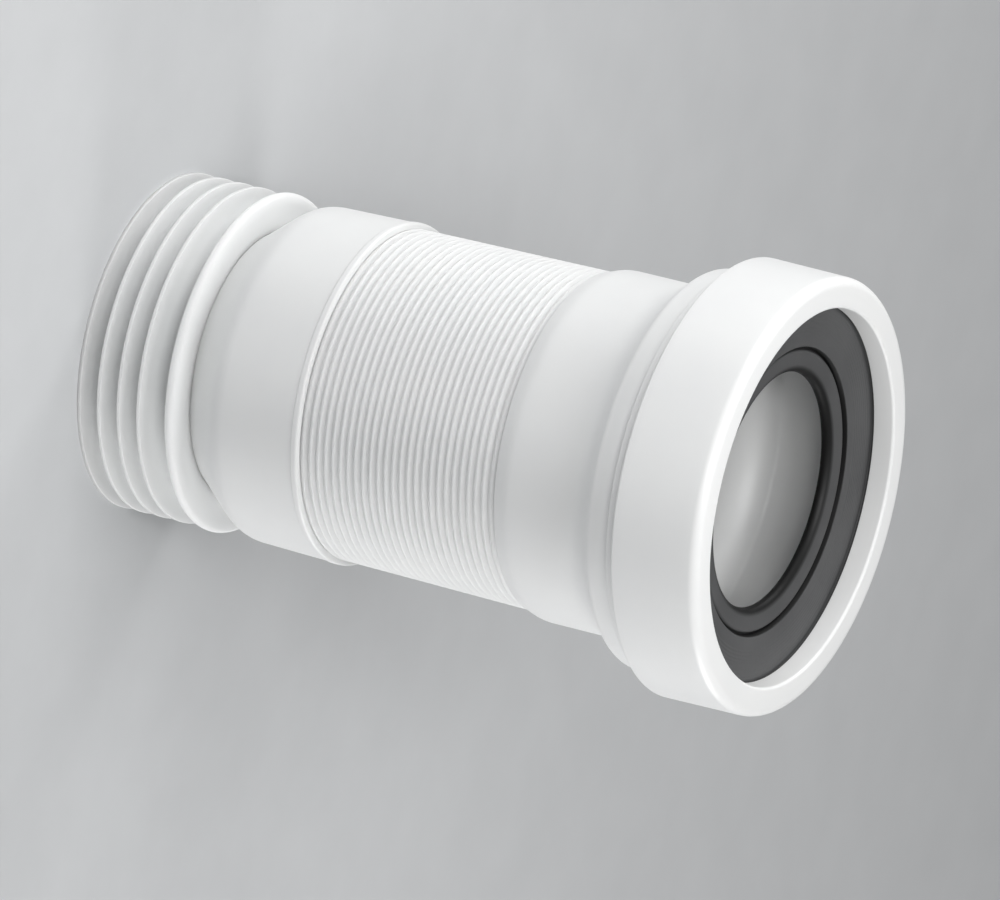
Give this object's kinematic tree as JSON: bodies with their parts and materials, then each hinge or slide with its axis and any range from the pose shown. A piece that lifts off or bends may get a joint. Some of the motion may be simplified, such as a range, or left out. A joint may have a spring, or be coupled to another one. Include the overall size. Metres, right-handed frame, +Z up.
{
  "type": "toilet pan connector",
  "caption": "Extendable toilet pan connector: a wide cap with a rubber seal, a fine-pleated concertina pipe and a finned outlet that pushes into a soil pipe.",
  "frame": {"origin": "centre of the outlet's end, where the part stands", "axes": "+Z up the pipe's axis, from the finned outlet to the pan inlet"},
  "size_m": [0.14, 0.14, 0.2282],
  "materials": {
    "white_plastic": "satin moulded",
    "bellows_plastic": "satin blow moulded",
    "white_rubber": "soft matt",
    "grey_rubber": "matt"
  },
  "bodies": {
    "outlet": {"outlet_spigot": "white_plastic", "finned_sleeve": "white_rubber", "bellows": "bellows_plastic"},
    "inlet": {"inlet_socket": "white_plastic", "seal_cap": "white_plastic", "pan_seal": "grey_rubber"}
  },
  "joints": [
    {"name": "bellows_extend", "type": "slide", "parent": "outlet", "child": "inlet", "axis": [0, 0, 1], "range_m": [0, 0.15], "deforming": ["bellows"]}
  ]
}
